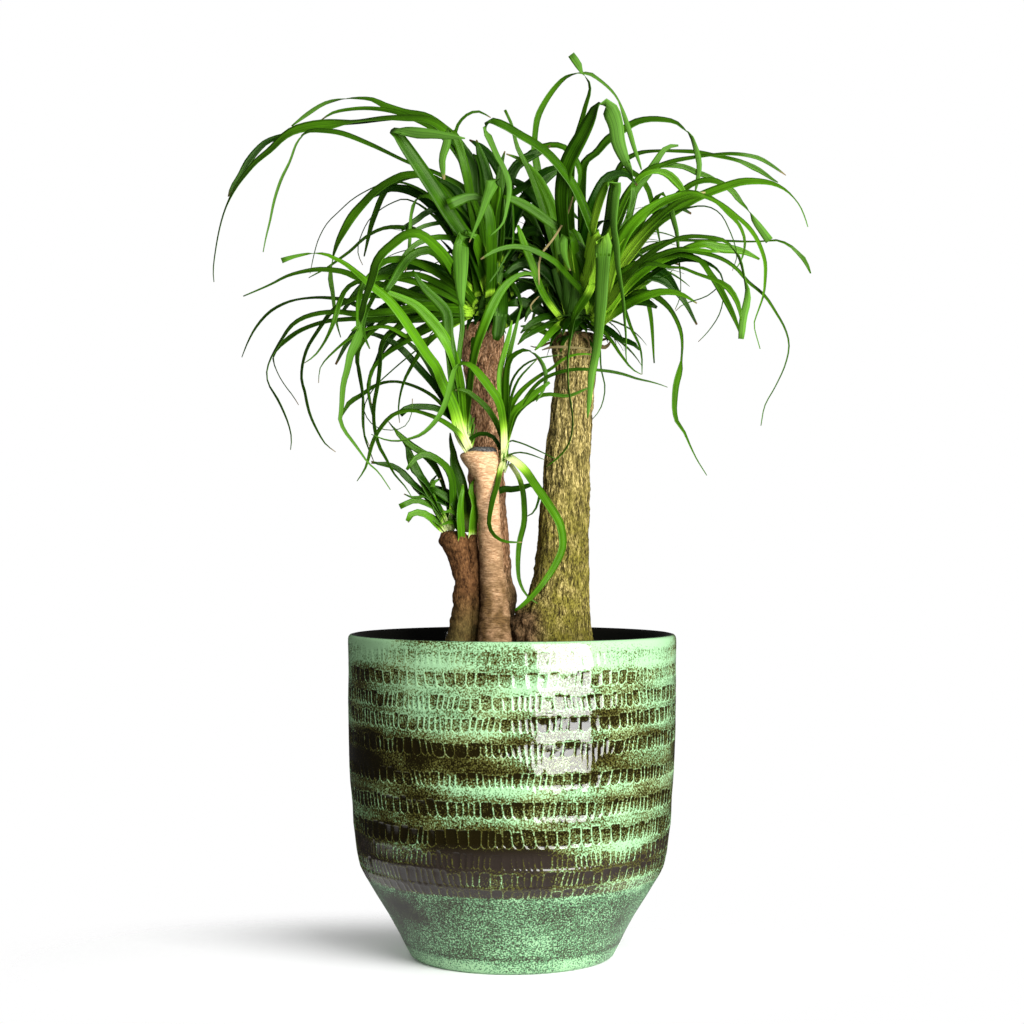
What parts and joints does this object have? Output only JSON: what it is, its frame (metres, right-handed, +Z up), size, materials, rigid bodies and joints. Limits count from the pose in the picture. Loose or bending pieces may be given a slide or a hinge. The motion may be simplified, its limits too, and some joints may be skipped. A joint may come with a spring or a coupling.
{
  "type": "potted ponytail palm",
  "caption": "Ponytail palm with several bark-covered stems and arching strap leaves, standing in a round glazed ceramic pot.",
  "frame": {"origin": "centre of the pot's flat underside", "axes": "+Z up along the pot's axis, front of the plant towards -Y, +X to the right"},
  "size_m": [0.4351, 0.3228, 0.6362],
  "materials": {
    "pot_glaze": "glossy mint and olive-brown reactive glaze over pressed marks, mottled",
    "nursery_pot_plastic": "thin black plastic",
    "soil": "loose dark potting soil",
    "main_trunk_bark": "grey-brown corky bark, olive towards the soil",
    "brown_bark": "reddish-brown ringed bark",
    "tan_bark": "tan bark with fine cross wrinkles",
    "leaf_base": "pale yellow-green leaf bases",
    "leaf": "smooth green leaf, slightly glossy above and matte below"
  },
  "bodies": {
    "root": {"front_stump": "tan_bark", "glazed_pot": "pot_glaze", "left_shoot_heart": "leaf_base", "left_shoot_leaf_01": "leaf", "left_shoot_leaf_02": "leaf", "left_shoot_leaf_03": "leaf", "left_shoot_leaf_04": "leaf", "left_shoot_leaf_05": "leaf", "left_sprout_heart": "leaf_base", "left_sprout_leaf_01": "leaf", "left_sprout_leaf_02": "leaf", "left_stump": "brown_bark", "main_crown_heart": "leaf_base", "main_crown_leaf_01": "leaf", "main_crown_leaf_02": "leaf", "main_crown_leaf_03": "leaf", "main_crown_leaf_04": "leaf", "main_crown_leaf_05": "leaf", "main_crown_leaf_06": "leaf", "main_crown_leaf_07": "leaf", "main_crown_leaf_08": "leaf", "main_crown_leaf_09": "leaf", "main_crown_leaf_10": "leaf", "main_crown_leaf_11": "leaf", "main_crown_leaf_12": "leaf", "main_crown_leaf_13": "leaf", "main_crown_leaf_14": "leaf", "main_crown_leaf_15": "leaf", "main_crown_leaf_16": "leaf", "main_crown_leaf_17": "leaf", "main_crown_leaf_18": "leaf", "main_crown_leaf_19": "leaf", "main_crown_leaf_20": "leaf", "main_crown_leaf_21": "leaf", "main_trunk": "main_trunk_bark", "nursery_pot": "nursery_pot_plastic", "potting_soil": "soil", "rear_crown_heart": "leaf_base", "rear_crown_leaf_01": "leaf", "rear_crown_leaf_02": "leaf", "rear_crown_leaf_03": "leaf", "rear_crown_leaf_04": "leaf", "rear_crown_leaf_05": "leaf", "rear_crown_leaf_06": "leaf", "rear_crown_leaf_07": "leaf", "rear_crown_leaf_08": "leaf", "rear_crown_leaf_09": "leaf", "rear_crown_leaf_10": "leaf", "rear_crown_leaf_11": "leaf", "rear_crown_leaf_12": "leaf", "rear_crown_leaf_13": "leaf", "rear_crown_leaf_14": "leaf", "rear_crown_leaf_15": "leaf", "rear_trunk": "brown_bark", "right_shoot_heart": "leaf_base", "right_shoot_leaf_01": "leaf", "right_shoot_leaf_02": "leaf", "right_shoot_leaf_03": "leaf", "right_shoot_leaf_04": "leaf"}
  },
  "joints": []
}
